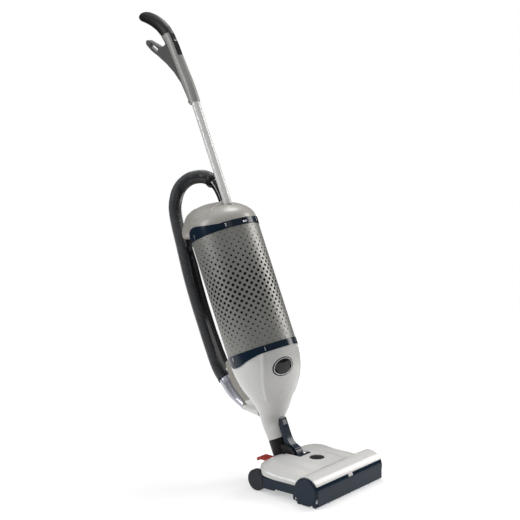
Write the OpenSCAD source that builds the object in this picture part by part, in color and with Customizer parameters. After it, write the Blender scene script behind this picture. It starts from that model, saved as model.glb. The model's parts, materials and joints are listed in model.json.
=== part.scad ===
// Upright vacuum cleaner for commercial use, leaning back on a swivel neck.
// Millimetres. +Z up, forward is -Y, X across. The origin is on the floor,
// at mid width, straight under the axis of the brush roller.

/* [Power head] */
// Overall width of the power head
head_w = 305; // [280:5:380]
// Height of the roller axis above the floor
roller_z = 40; // [38:1:44]
// Outer radius of the hood around the roller
hood_r = 40; // [38:0.5:42]
// Distance of the rear wheel axle behind the roller axis
axle_y = 186; // [170:1:190]
// Radius of the rear wheels
wheel_r = 30; // [28:1:32]
// Thickness of the moulded shells
wall = 2.5; // [2:0.25:3.5]

/* [Neck] */
// Lean of the body behind the vertical
recline = 22.8; // [5:0.1:40]
// Turn of the body about its own axis, towards the left side
turn = 10; // [-20:1:20]
// Pitch axis, behind the roller axis
pivot_y = 180; // [175:1:185]
// Pitch axis, above the floor
pivot_z = 60; // [58:1:64]
// Radius of the drum at the foot of the neck
drum_r = 41; // [38:1:42]

/* [Body] */
// Outer radius of the bag housing
body_r = 100; // [90:1:105]
// Height of the joint between lower shell and housing, along the body
housing_z0 = 319; // [300:1:330]
// Height of the top of the housing, along the body
housing_z1 = 662; // [640:1:680]
// Height of a dark band
band_h = 19; // [15:1:22]
// Distance of the housing axis ahead of the neck axis
body_ahead = 56; // [50:1:60]
// Distance of the carrying bar behind the housing axis
bar_behind = 190; // [150:1:200]

/* [Hose] */
// Outside diameter of the suction hose
hose_d = 40; // [36:1:44]

/* [Handle] */
// Outside diameter of the handle tube
tube_d = 24; // [22:1:26]
// Distance of the tube ahead of the housing axis
tube_ahead = 53; // [45:1:56]
// Foot of the handle on its tube, along the body
handle_z = 1046; // [1000:1:1060]

/* [Hidden] */
$fn = 64;
eps = 0.01;
gap = 0.4;
half_w = head_w / 2;
neck_y = 18;
neck_r = 27.5;
swivel_r = 22;
body_y = neck_y - body_ahead;
tube_y = body_y - tube_ahead;
bar_y = body_y + bar_behind;
bore_gap = 0.05;
motor_y = 98;
motor_z = 41;
cavity_r = drum_r + 9.5;
cavity_x = 31;
drum_x = 20;
dial_x = 3;
dial_y = 81;
pedal_y = 203;
pedal_z = 59;
CREAM = [0.86, 0.85, 0.82];
PALE = [0.74, 0.73, 0.70];
NAVY = [0.10, 0.13, 0.18];
BLACK = [0.05, 0.05, 0.06];
STEEL = [0.72, 0.74, 0.77];

// ---------------------------------------------------------------- frames
module neck_frame() translate([0, pivot_y, pivot_z]) rotate([-recline, 0, 0]) children();
module body_frame() neck_frame() translate([0, neck_y, 0]) rotate([0, 0, -turn])
    translate([0, -neck_y, 0]) children();
module along_x(x0, x1) translate([x0, 0, 0]) rotate([90, 0, 90])
    linear_extrude(height = x1 - x0) children();
module both_sides() for (s = [-1, 1]) scale([s, 1, 1]) children();
module axle(x0, x1, r) translate([x0, 0, 0]) rotate([0, 90, 0]) cylinder(r = r, h = x1 - x0);
module ring(r1, r0, h) difference() {
    cylinder(r = r1, h = h);
    translate([0, 0, -1]) cylinder(r = r0, h = h + 2);
}

// A closed solid through a list of rings, each a list of points turning the same way.
module loft(rings) {
    n = len(rings[0]);
    m = len(rings);
    function at(j, i) = j * n + (i % n);
    polyhedron(
        points = [for (r = rings) each r],
        faces = concat([[for (i = [0:n - 1]) at(0, i)]],
                       [[for (i = [n - 1:-1:0]) at(m - 1, i)]],
                       [for (j = [0:m - 2], i = [0:n - 1]) [at(j, i), at(j + 1, i), at(j + 1, i + 1)]],
                       [for (j = [0:m - 2], i = [0:n - 1]) [at(j, i), at(j + 1, i + 1), at(j, i + 1)]]));
}

// ---------------------------------------------------------------- power head
// Half width of the cover at a distance behind the roller, and the height of its edge and crown.
function cover_half(y) = y < 150 ? half_w - 12 : half_w - 12 - (y - 150) * (y - 150) / 60;
function cover_edge(y) = y < 120 ? 47 : 47 + (y - 120) * 0.10;
function cover_crown(y) = y < 60 ? 79 : y < 170 ? 80 : 80 - (y - 170) * (y - 170) / 90;
function cover_square(y) = y < 110 ? 0.72 : max(0.45, 0.72 - (y - 110) * 0.0045);
// Edges of the middle panel and of the strip beside it. Between them the roof falls away to the front.
panel_x = 49;
function strip_in(y) = y < 150 ? 77 - (y - 11) * 0.175 : 52.7;
function strip_out(y) = 101 - (y - 14) * 0.1;
function press(x, y) = let (k = min(1, max(0, (154 - y) / 130)), s = strip_in(y), o = strip_out(y))
    k * (x < panel_x ? 0 : x < s ? 4 * (x - panel_x) / (s - panel_x)
         : x < o ? 4 - 3 * (x - s) / (o - s) : x < o + 16 ? 1 - (x - o) / 16 : 0);
function cover_z(x, y, w, e, c) =
    e + (c - e) * pow(max(0, 1 - pow(x / w, 2.5)), cover_square(y) / 2) - press(x, y);
function cover_ring(y, inset) = let (w = cover_half(y) - inset, e = cover_edge(y), c = cover_crown(y) - inset,
        xs = concat([for (q = [1, 0.994, 0.978, 0.95, 0.91, 0.86]) q * w], [strip_out(y), strip_in(y), panel_x, 25]),
        n = len(xs))
    concat([for (i = [0:n - 1]) [-xs[i], y, cover_z(xs[i], y, w, e, c)]], [[0, y, cover_z(0, y, w, e, c)]],
           [for (i = [n - 1:-1:0]) [xs[i], y, cover_z(xs[i], y, w, e, c)]],
           [[w, y, e - 1 - inset], [-w, y, e - 1 - inset]]);
module cover_solid(inset, y0, y1) {
    steps = 11;
    loft([for (j = [0:steps]) let (y = y0 + (y1 - y0) * j / steps) cover_ring(y, inset)]);
}
module neck_cavity(grow = 0) translate([0, pivot_y, pivot_z]) {
    axle(-drum_x - 2 - grow, drum_x + 2 + grow, cavity_r + grow);
    intersection() {
        axle(-cavity_x - grow, cavity_x + grow, cavity_r + grow);
        translate([-50, -8 - grow, -80]) cube([100, 200, 160]);
    }
    translate([-cavity_x - grow, 0, -cavity_r * 0.2]) cube([2 * (cavity_x + grow), 80, 80]);
}

module head_base() color(NAVY) difference() {
    union() {
        // floor of the tray
        translate([-100, 30, 5]) cube([200, 162, 4]);
        both_sides() {
            // side wall, deeper ahead of the rear wheel, on a shelf outside the tray
            translate([half_w - 15, 36, 22]) cube([5, 118, 23.6]);
            translate([half_w - 15, 116, 15.5]) cube([5, 38, 8]);
            translate([96, 30, 5]) cube([4, 162, 19]);
            translate([96, 36, 20]) cube([half_w - 107, 118, 4]);
            // block of the front wheel
            translate([half_w - 30, 34, 4.5]) cube([15, 19, 17]);
            translate([half_w - 39, 136, 15.5]) cube([4, 56, 31.5]);
            translate([half_w - 39, 138, 15.5]) cube([28, 4, 29.5]);
            translate([36, 188, 5]) cube([half_w - 72, 4, 41]);
            // neck cheeks and bearing seats
            translate([cavity_x + 0.5, pivot_y - 50, 5]) cube([3.5, 60, 44]);
        }
        // wall behind the roller
        along_x(-half_w + 6, half_w - 6) translate([0, roller_z]) difference() {
            circle(r = hood_r - 3.3);
            circle(r = hood_r - 5.8);
            translate([-60, -60]) square([62, 120]);
            polygon([[-60, -60], [20, -60], [4, 0], [4, 60], [-60, 60]]);
        }
        // duct from the roller chamber to the neck
        translate([-30, 36, 9]) difference() {
            cube([60, 100, 40]);
            translate([3, -1, 3]) cube([54, 110, 34]);
        }
    }
    translate([0, 0, roller_z]) axle(-half_w, half_w, hood_r - 5.6);
    neck_cavity();
    // cradle of the brush motor
    translate([0, motor_y, motor_z]) {
        axle(41.5, half_w - 31.7, 23.6);
        translate([45.7, -22.3, -30.3]) cube([60.6, 44.6, 26]);
    }
    // wells for the four wheels, and the slot that the belt runs through
    both_sides() {
        translate([0, axle_y, wheel_r]) axle(half_w - 34, half_w, wheel_r + 3);
        translate([0, axle_y, wheel_r]) axle(half_w - 60, half_w, 4.02);
        translate([0, 44, 9]) axle(half_w - 27.5, half_w - 18, 11.5);
        translate([0, 44, 9]) axle(half_w - 30, half_w - 15, 2.52);
    }
    translate([half_w - 28, 10, 13]) cube([11, 54, 54]);
}

module sole_plate() color(STEEL) difference() {
    union() {
        translate([-half_w + 10, -36, 2]) cube([head_w - 20, 66, 2.6]);
        for (x = [-92, -46, 0, 46, 92]) translate([x - 4, -36, 0]) cube([8, 66, 3]);
    }
    for (x = [-115, -69, -23, 23, 69, 115]) translate([x - 18, -22, -1]) cube([36, 40, 8]);
}

module head_cover() color(CREAM) difference() {
    cover_solid(0, 14, 196);
    difference() {
        cover_solid(wall, 12, 194);
        translate([dial_x - 24, dial_y - 26, 62]) cube([48, 52, 40]);
    }
    neck_cavity(1.2);
    translate([-drum_x - 4, 127, 40]) cube([2 * drum_x + 8, 100, 60]);
    translate([-33, 170, 40]) cube([66, 60, 60]);
    translate([0, 0, roller_z]) axle(-half_w, half_w, hood_r + 1.6);
    translate([dial_x, dial_y, 70]) cylinder(r = 21.8, h = 20);
    translate([dial_x, dial_y, 50]) cylinder(r = 4.05, h = 40);
    // wheel arches
    both_sides() translate([0, axle_y, wheel_r]) axle(half_w - 34, half_w + 5, wheel_r + 4);
}

module hood_profile(a0, a1, r1, r0) difference() {
    circle(r = r1);
    circle(r = r0);
    // keep only the sector between two directions, measured up from the front
    polygon(concat([[0, 0]], [for (i = [0:12]) let (a = a1 + (360 - a1 + a0) * i / 12)
        90 * [-cos(a), sin(a)]]));
}
module front_hood() color(CREAM) {
    along_x(-half_w + 6, half_w - 6) translate([0, roller_z]) hood_profile(28, 128, hood_r, hood_r - 3);
    // ridge along the crown of the hood
    along_x(-half_w + 6.5, half_w - 6.5) translate([0, roller_z]) hood_profile(98, 128, hood_r + 1.2, hood_r - 1);
    // tab that points down over the front shield
    along_x(-9, 9) translate([0, roller_z]) hood_profile(16, 30, hood_r + 1.4, hood_r - 0.6);
}
module front_shield() color(NAVY) difference() {
    along_x(-half_w + 6, half_w - 6) translate([0, roller_z]) {
        hood_profile(0, 27.6, hood_r, hood_r - 3);
        translate([-hood_r, -roller_z + 5]) square([3, roller_z - 4.5]);
        translate([-hood_r, -roller_z + 5]) square([6, 3]);
    }
    along_x(-9.4, 9.4) translate([0, roller_z]) hood_profile(15.4, 30, hood_r + 3, hood_r - 0.8);
}
module end_caps() color(NAVY) both_sides() translate([0, 0, roller_z - 1]) difference() {
    union() {
        axle(half_w - 5.8, half_w - 2.5, hood_r - 1);
        axle(half_w - 2.6, half_w, hood_r - 5);
        axle(half_w - 9, half_w - 5.7, 9);
        for (y = [-hood_r + 10, 22]) translate([0, y, -roller_z + 9]) axle(half_w - 5.8, half_w - 2.5, 8);
    }
    axle(half_w - 12, half_w - 3.5, 5);
    translate([half_w - 12, -60, -roller_z - 20]) cube([30, 120, 22.4]);
}
module neck_bezel() color(NAVY) difference() {
    translate([-drum_x - 4, 119, 76]) cube([2 * drum_x + 8, 12, 5.5]);
    neck_cavity(0.6);
    translate([-drum_x - 2.6, 127.8, 60]) cube([2 * drum_x + 5.2, 20, 40]);
}
module neck_bearings() color(BLACK) both_sides() difference() {
    translate([cavity_x + 4.1, pivot_y - 14, 9.1]) cube([9, 24, pivot_z]);
    translate([0, pivot_y, pivot_z]) axle(cavity_x, cavity_x + 20, 8 + bore_gap);
}

module brush_roller() color([0.20, 0.21, 0.24]) translate([0, 0, roller_z]) {
    axle(-half_w + 20, half_w - 20, 17);
    axle(-half_w + 10, half_w - 10, 4);
    // toothed end that carries the belt
    axle(half_w - 26, half_w - 19, 19);
}
module brush_bristles() color([0.12, 0.12, 0.13]) translate([0, 0, roller_z])
    for (i = [-9:9]) translate([i * 12.6, 0, 0]) rotate([i * 40, 0, 0]) for (a = [0, 180])
        rotate([a, 0, 0]) translate([0, 0, 16]) cylinder(r = 3, h = 16, $fn = 16);
module roller_bearings() color(STEEL) translate([0, 0, roller_z]) both_sides() difference() {
    axle(half_w - 16, half_w - 10, 12);
    axle(half_w - 20, half_w, 4 + bore_gap);
}

module belt_run(grow) hull() {
    translate([0, roller_z]) circle(r = 19.5 + grow, $fn = 32);
    translate([motor_y, motor_z]) circle(r = 9.5 + grow, $fn = 32);
}
module drive_belt() color(BLACK) along_x(half_w - 25.5, half_w - 19.5) difference() {
    belt_run(2);
    belt_run(0);
}
module brush_motor() color([0.35, 0.36, 0.38]) translate([0, motor_y, motor_z]) difference() {
    union() {
        axle(45, half_w - 32, 23.2);
        translate([46, -22, -30]) cube([60, 44, 20]);
    }
    axle(half_w - 45, half_w - 20, 4 + bore_gap);
}
module motor_pulley() color(STEEL) translate([0, motor_y, motor_z]) {
    axle(half_w - 26, half_w - 19, 9);
    axle(half_w - 44, half_w - 18, 4);
}

module wheel_axles() color(STEEL) both_sides() {
    translate([0, axle_y, wheel_r]) axle(half_w - 50, half_w - 19, 4);
    translate([0, 44, 9]) axle(half_w - 26, half_w - 15.5, 2.5);
}
module rear_wheel() translate([0, axle_y, wheel_r]) difference() {
    union() {
        axle(half_w - 30, half_w - 17, wheel_r);
        axle(half_w - 17.2, half_w - 15.4, wheel_r - 6);
        axle(half_w - 32, half_w - 29, 8);
    }
    axle(half_w - 38, half_w - 18.8, 4 + bore_gap);
}
module rear_wheel_left() color(BLACK) scale([-1, 1, 1]) rear_wheel();
module rear_wheel_right() color(BLACK) rear_wheel();
module front_wheel() translate([0, 44, 9]) difference() {
    axle(half_w - 25.5, half_w - 19.6, 9);
    axle(half_w - 30, half_w - 10, 2.5 + bore_gap);
}
module front_wheel_left() color(BLACK) scale([-1, 1, 1]) front_wheel();
module front_wheel_right() color(BLACK) front_wheel();

module height_dial() color(BLACK) translate([dial_x, dial_y, 0]) {
    translate([0, 0, 72.6]) cylinder(r = 21.2, h = 5.4);
    translate([-18, -3, 77.8]) cube([36, 6, 2.6]);
    translate([0, 0, 58]) cylinder(r = 4, h = 15);
}
module foot_pedal() color([0.66, 0.13, 0.10]) difference() {
    union() {
        translate([-70, pedal_y + 0.4, pedal_z + 3.8]) cube([39, 36.6, 3.6]);
        translate([-70, pedal_y + 33, pedal_z - 1]) cube([39, 4, 8]);
        translate([0, pedal_y, pedal_z]) axle(-69, -40, 4.5);
    }
    translate([0, pedal_y, pedal_z]) axle(-90, -30, 2 + bore_gap);
}
module pedal_pin() color(STEEL) {
    translate([0, pedal_y, pedal_z]) axle(-72, -37.6, 2);
    for (x = [-71.6, -39.2]) along_x(x, x + 1.6)
        polygon([[190.6, 38], [205, 38], [205.4, pedal_z + 2.4], [200.4, pedal_z + 2.4], [197, 51], [190.6, 44.6]]);
}
module pedal_spring() color(STEEL) translate([-55, 219, 0]) {
    for (z = [44, 48, 52, 56]) translate([0, 0, z]) ring(5, 3.6, 2);
    translate([-1, 3.7, 44]) cube([2, 1.2, 14]);
    translate([-5, -28, 42.4]) cube([10, 33, 1.8]);
}

// ---------------------------------------------------------------- neck
module neck_drum() color(BLACK) neck_frame() difference() {
    union() {
        axle(-drum_x, drum_x, drum_r);
        axle(-cavity_x - 12.5, cavity_x + 12.5, 8);
        translate([0, neck_y, 0]) cylinder(r = neck_r, h = 61.6);
        translate([0, neck_y, 50]) cylinder(r = swivel_r, h = 36);
    }
    translate([0, neck_y, 0]) cylinder(r = swivel_r - 4, h = 90);
    axle(-drum_x + 4, drum_x - 4, drum_r - 14);
    translate([-drum_x + 4, -60, -60]) cube([2 * drum_x - 8, 60, 34]);
    translate([-60, 0, -drum_r - 20]) cube([120, 80, 20]);
}
module neck_strut() color(NAVY) neck_frame() difference() {
    union() {
        along_x(-12, 12) polygon([[-12, 0], [-12, 96], [-18, 112], [-24, 113.6], [-26, 110], [-26, 58], [-28.5, 41],
                                  [-35.5, 29], [-41.5, 19.5], [-45.5, 8], [-46.4, -4], [-45, -14], [-20, -14]]);
        translate([0, -39, 17]) axle(-13.4, 13.4, 5);
    }
    translate([0, neck_y, -1]) cylinder(r = neck_r + 0.4, h = 64);
    // keeps clear of the shell while the body swivels
    translate([0, neck_y, 61]) cylinder(r1 = 29, r2 = 31.5, h = 36.2);
    translate([0, neck_y, 97]) cylinder(r1 = 31.5, r2 = 35.5, h = 11.2);
    translate([0, neck_y, 108]) cylinder(r1 = 35.5, r2 = 48.5, h = 12);
    axle(-30, 30, drum_r + 0.1);
    // pocket of the release button
    translate([-8.3, -30, 91]) cube([16.6, 12.5, 15]);
    translate([0, -39, 17]) both_sides() axle(11, 14, 2.6);
}
module release_button() color([0.45, 0.46, 0.48]) neck_frame() {
    translate([-7.9, -25.6, 91.4]) cube([15.8, 5.2, 14.2]);
    for (z = [92.6, 95.8, 99, 102.2]) translate([-7.9, -27, z]) cube([15.8, 1.6, 1.8]);
}

// ---------------------------------------------------------------- body, lower part
// Sections of the lower shell: height, radius, distance ahead of the neck axis, flatness of the front.
SHELL = [[62, neck_r, 0, 0], [80, 29.3, 0, 0], [97, 31, 0, 0], [108, 32.8, 2, 0.01], [120, 37.5, 10, 0.03],
         [134, 43.5, 22, 0.05], [150, 49, 31, 0.08], [170, 58, 39, 0.10], [192, 70, 46, 0.11],
         [215, 82, 50, 0.10], [240, 91, 53, 0.08], [265, 96.5, 55, 0.05], [288, 99.5, 56, 0.02], [300, 100, 56, 0]];
CREASE = 47;
function shell_r(a, r, flat) = abs(a) < CREASE ? r * (1 - flat * (1 - pow(a / CREASE, 2))) : r;
function shell_ring(s, inset) = [for (i = [0:47]) let (a = 180 - i * 7.5, r = shell_r(a, s[1], s[3]) - inset)
    [-r * sin(a), neck_y - s[2] - r * cos(a), s[0]]];
module shell_solid(inset, grow) loft([for (i = [0:len(SHELL) - 1]) let (s = SHELL[i])
    shell_ring([s[0] + (i == 0 ? -grow : i == len(SHELL) - 1 ? grow : 0), s[1], s[2], s[3]], inset)]);

// Axis of the duct that leads from the neck to the hose elbow.
DUCT = [[0, 46, 148.8], [0, 70, 158], [0, 122, 178]];
module pipe(p, q, r1, r2, h = 0) tilted(p, q) cylinder(r1 = r1, r2 = r2, h = norm(q - p) + h);
module tilted(p, q) translate(p) rotate([-atan2(q[1] - p[1], q[2] - p[2]), 0, 0]) children();

module lower_shell() color(CREAM) body_frame() difference() {
    union() {
        shell_solid(0, 0);
        pipe(DUCT[0], DUCT[2], 21, 12.5);
        // fin up the back, between the shell and the carrying bar
        along_x(-12, 12) polygon([[20, 130], [70, 158], [96, 180], [110, 204], [119, 219], [133, 240], [137, 262],
                                  [137, 286], [138, 303], [137, 316], [120, 320], [40, 298], [20, 250]]);
    }
    shell_solid(wall, 1);
    pipe(DUCT[0], DUCT[2], 18, 9.8, 1);
    along_x(-9.5, 9.5) polygon([[40, 180], [88, 190], [104, 212], [126, 246], [130, 296], [118, 312],
                                [46, 292], [40, 260]]);
    translate([0, neck_y, 50]) cylinder(r = 25, h = 60);
}
module swivel_ring() color(BLACK) body_frame() translate([0, neck_y, 64]) difference() {
    cylinder(r = 25, h = 20);
    translate([0, 0, -1]) cylinder(r = swivel_r + bore_gap, h = 22);
}
module suction_motor() color([0.30, 0.31, 0.33]) body_frame() translate([0, body_y + 4, 0]) difference() {
    union() {
        translate([0, 0, 196]) cylinder(r = 52, h = 56);
        translate([0, 0, 252]) ring(62, 57, 34);
        translate([0, 0, 250]) cylinder(r = 62, h = 3);
        translate([0, 0, 190]) cylinder(r = 20, h = 7);
    }
    translate([0, 0, 244]) cylinder(r = 5 + bore_gap, h = 20);
}
module fan_impeller() color(STEEL) body_frame() translate([0, body_y + 4, 0]) {
    translate([0, 0, 245]) cylinder(r = 5, h = 20);
    translate([0, 0, 258]) cylinder(r = 54, h = 2);
    for (i = [0:8]) rotate([0, 0, i * 40]) translate([14, -1, 259.5]) rotate([0, 0, 18]) cube([36, 2, 14]);
    translate([0, 0, 273]) ring(54, 24, 2);
}
module motor_plate() color(BLACK) body_frame() translate([0, body_y, 0]) {
    translate([0, 0, 288.5]) ring(96.5, 40, 4);
    translate([0, 4, 286.2]) ring(66, 48, 3);
    translate([0, 0, 292]) ring(96.5, 90, 26);
}

// ---------------------------------------------------------------- body, bag housing
// A dark band, wide at the back where it ends in a rounded paddle.
PADDLE = [[-75, 0.5], [-75, 1], [-41, 1.39], [-25, 1.64], [-10, 1.82], [2, 1.88], [14, 1.87], [25, 1.76],
    [34, 1.55], [41, 1.25], [46, 0.9], [49, 0.5], [46, 0.2]];
module band_side(z_flat, z_wide) translate([body_y, 0]) {
    translate([-body_r - 3, min(z_flat, z_wide)]) square([body_r + 54, band_h]);
    polygon([for (p = PADDLE) [p[0], z_flat + p[1] * (z_wide - z_flat)]]);
}
module band(z_flat, z_wide) body_frame() intersection() {
    union() {
        translate([0, body_y, min(z_flat, z_wide)]) ring(body_r + 1.5, body_r - 3.2, band_h);
        translate([0, body_y, z_flat - 60]) ring(body_r + 1.5, body_r + 0.1, 120);
    }
    along_x(-body_r - 5, body_r + 5) band_side(z_flat, z_wide);
}
module lower_band() color(NAVY) band(housing_z0, housing_z0 - band_h);
module upper_band() color(NAVY) difference() {
    band(housing_z1, housing_z1 + band_h);
    body_frame() translate([-7.4, body_y - body_r - 5, housing_z1 + 3]) cube([14.8, 20, 12]);
}
CLIP_ANGLES = [-95, -33, 33, 95];
module band_clips() color(STEEL) body_frame() translate([0, body_y, 0]) {
    for (z = [housing_z0 - band_h + 4, housing_z1 + 4], a = CLIP_ANGLES) rotate([0, 0, -a])
        translate([-1.4, -body_r - 2.6, z]) cube([2.8, 1.12, band_h - 8]);
}
module half_shell(r1, r0, z0, z1, front) intersection() {
    translate([0, body_y, z0]) ring(r1, r0, z1 - z0);
    translate([-150, front ? body_y - 150 : body_y + 0.4, z0 - 1]) cube([300, front ? 149.6 : 150, z1 - z0 + 2]);
}
module rear_housing() color(PALE) body_frame()
    half_shell(body_r, body_r - 3, housing_z0 + 0.4, housing_z1 - 0.4, false);
module front_cover() color(PALE) body_frame() {
    half_shell(body_r, body_r - 3, housing_z0 + 0.6, housing_z1 - 0.6, true);
}
module exhaust_filter() color([0.92, 0.92, 0.9]) body_frame()
    half_shell(body_r - 3, body_r - 11, housing_z0 + 6, housing_z1 - 8, true);
module bag_chamber() color([0.25, 0.26, 0.28]) body_frame() translate([0, body_y, 0]) difference() {
    translate([0, 0, housing_z0 - 0.9]) cylinder(r = body_r - 12, h = housing_z1 - housing_z0 + 20);
    translate([0, 0, housing_z0 + 2]) cylinder(r = body_r - 14, h = 400);
    translate([0, 0, housing_z0 - 3]) cylinder(r = 40, h = 8);
}
module dust_bag() color([0.80, 0.76, 0.66]) body_frame() translate([0, body_y, 0]) {
    translate([0, 0, housing_z0 + 22]) cylinder(r1 = 60, r2 = 78, h = 30);
    translate([0, 0, housing_z0 + 52]) cylinder(r = 78, h = 236);
    translate([0, 0, housing_z0 + 288]) cylinder(r1 = 78, r2 = 48, h = 34);
    translate([0, 0, housing_z0 + 322]) cylinder(r = 48, h = 4);
}
module cover_latch() color(STEEL) body_frame() translate([0, body_y - body_r, housing_z1 + 4]) {
    translate([-7, -2.6, 0]) cube([14, 4.2, 6]);
    translate([-7, -3.4, 1.2]) cube([14, 1, 1.2]);
    translate([-7, -3.4, 3.6]) cube([14, 1, 1.2]);
}

// ---------------------------------------------------------------- body, top cap
// Sections of the cap: height above the band, radius, distance behind the housing axis.
CAP = [[0, 100, 0], [14, 99, 1], [26, 96, 4], [38, 90, 9], [50, 81, 16], [60, 71, 24],
       [69, 59, 33], [76, 46, 41], [81, 30, 49]];
cap_z = housing_z1 + band_h + 0.3;
function cap_ring(s, inset) = [for (i = [0:47]) let (a = 180 - i * 7.5)
    [-(s[1] - inset) * sin(a), body_y + s[2] - (s[1] - inset) * cos(a), cap_z + s[0]]];
module cap_solid(inset, drop) loft([for (s = CAP) cap_ring([s[0] - drop, s[1], s[2]], inset)]);
// Lobe of the cap that reaches back to the carrying bar: distance behind the housing axis, half
// width, bottom and top above the band.
EAR = [[20, 78, 0, 78], [60, 70, 0, 84], [100, 54, 2, 82], [130, 40, 7, 73], [155, 30, 13, 62],
       [175, 21, 18, 52], [187, 14, 21, 45], [192, 9, 24, 40]];
function ear_ring(s, inset) = let (w = s[1] - inset, h = (s[3] - s[2]) / 2 - inset, m = (s[3] + s[2]) / 2)
    [for (i = [0:27]) let (a = -360 * i / 28, c = cos(a), d = sin(a))
        [w * sign(c) * pow(abs(c), 0.8), body_y + s[0], cap_z + m + h * sign(d) * pow(abs(d), 0.8)]];
module ear_solid(inset, n) loft([for (i = [0:n]) ear_ring(EAR[i], inset)]);
module top_cap() color(PALE) body_frame() difference() {
    union() {
        cap_solid(0, 0);
        ear_solid(0, 7);
        tilted(SOCKET[0], SOCKET[1]) translate([0, 0, -24]) cylinder(r = 19, h = 26);
    }
    difference() {
        cap_solid(wall, wall);
        tilted(SOCKET[0], SOCKET[1]) translate([0, 0, -40]) cylinder(r = 19, h = 50);
    }
    ear_solid(wall, 5);
    translate([0, body_y, cap_z - 30]) cylinder(r = body_r - wall, h = 42);
    translate([0, tube_y, cap_z - 10]) cylinder(r = 15.2, h = 200);
    tilted(SOCKET[0], SOCKET[1]) translate([0, 0, -60]) cylinder(r = 14.6, h = 200);
    translate([-8.1, bar_y - 14.1, cap_z - 20]) cube([16.2, 12.2, 61]);
}
module tube_collar() color(PALE) body_frame() translate([0, tube_y, 0]) {
    translate([0, 0, cap_z - 8]) ring(15, tube_d / 2 + bore_gap, 62);
}
// Swan neck that carries the upper end of the hose.
SOCKET = [[24, body_y - 9, cap_z + 72], [24, body_y - 7, cap_z + 96], [23.5, body_y - 3, cap_z + 116],
          [22.5, body_y + 5, cap_z + 134], [20.5, body_y + 19, cap_z + 152], [18.5, body_y + 35, cap_z + 163.5]];
function back(p, q, d) = p - d * unit(q - p);
module hose_socket() color(BLACK) body_frame()
    swept(concat([back(SOCKET[0], SOCKET[1], 20)], SOCKET), 14.5, 28);
BAR = [[-6.5, cap_z + 1], [-6, 620], [0, 560], [3, 500], [3, 420], [-1, 360], [-6.5, 313], [6.5, 313], [14, 322],
    [19, 350], [22, 395], [22, 480], [21, 540], [18, 590], [10, 640], [6.5, cap_z + 1]];
module carrying_bar() color(BLACK) body_frame() {
    along_x(-8, 8) translate([bar_y, 0]) polygon(BAR);
    translate([-8, bar_y - 14, cap_z - 6]) cube([16, 12, 46]);
    translate([-8, bar_y - 13.8, 300]) cube([16, 20.3, 14]);
}
module hose_clips() color(BLACK) body_frame() {
    for (z = [400, 540]) {
        translate([2, bar_y + 22.1, z]) cube([5, 2.8, 12]);
        translate([0, HOSE_REAR, z]) intersection() {
            ring(hose_d / 2 + 2.6, hose_d / 2 + 0.2, 12);
            translate([1, -22, -1]) cube([40, 38, 20]);
        }
    }
}

// Route of the hose: out of its socket, over the loop, and down behind the carrying bar.
HOSE_REAR = body_y + 237;
HOSE = [[22, body_y + 8, cap_z + 141], [21, body_y + 18, cap_z + 152], [19, body_y + 34, cap_z + 164],
        [17, body_y + 54, cap_z + 173], [14, body_y + 76, cap_z + 179], [12, body_y + 98, cap_z + 182],
        [10, body_y + 122, cap_z + 181], [8, body_y + 146, cap_z + 176], [6, body_y + 168, cap_z + 165],
        [5, body_y + 187, cap_z + 149], [3, body_y + 201, cap_z + 129], [2, body_y + 209, cap_z + 106],
        [1, body_y + 213, cap_z + 80], [0, body_y + 216, cap_z + 48], [0, body_y + 220, cap_z + 14],
        [0, body_y + 225, cap_z - 22], [0, body_y + 231, cap_z - 66], [0, body_y + 235, cap_z - 116],
        [0, HOSE_REAR, 510], [0, HOSE_REAR, 450], [0, HOSE_REAR, 390], [0, HOSE_REAR - 1, 340],
        [0, body_y + 233, 312], [0, body_y + 225, 288], [0, body_y + 215, 272]];
function unit(v) = v / norm(v);
function tangent(p, i) = unit(p[min(i + 1, len(p) - 1)] - p[max(i - 1, 0)]);
function tube_ring(p, i, r, n) = let (t = tangent(p, i), a = unit(cross(t, [1, 0, 0])), b = cross(t, a))
    [for (k = [0:n - 1]) p[i] + r * (cos(360 * k / n) * a + sin(360 * k / n) * b)];
module swept(p, r, n = 24) loft([for (i = [0:len(p) - 1]) tube_ring(p, i, r, n)]);
module suction_hose() color([0.24, 0.25, 0.27]) body_frame() swept(HOSE, hose_d / 2);
// Axis and radius of the elbow, from the end of the hose to the duct.
ELBOW = [[0, 176.4, 271], [0, 171, 260], [0, 166, 243], [0, 156, 221], [0, 143, 202], [0, 131, 188], [0, 122.6, 178.3]];
ELBOW_R = [20, 19.8, 19, 17, 14.5, 13, 12.6];
module tapered(p, r, n = 32) loft([for (i = [0:len(p) - 1]) tube_ring(p, i, r[i], n)]);
module hose_cuffs() color(BLACK) body_frame() {
    tilted(HOSE[24], HOSE[23]) translate([0, 0, 1]) ring(21.6, hose_d / 2 + 0.05, 6);
    tilted(HOSE[0], HOSE[1]) translate([0, 0, 0.5]) ring(21.6, hose_d / 2 + 0.05, 8);
}
module hose_elbow() color(STEEL) body_frame() difference() {
    tapered(ELBOW, ELBOW_R);
    tapered(concat([[0, 177, 273]], ELBOW, [[0, 121.8, 177.4]]), concat([17.6], [for (r = ELBOW_R) r - 2.4], [10.2]));
}

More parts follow.
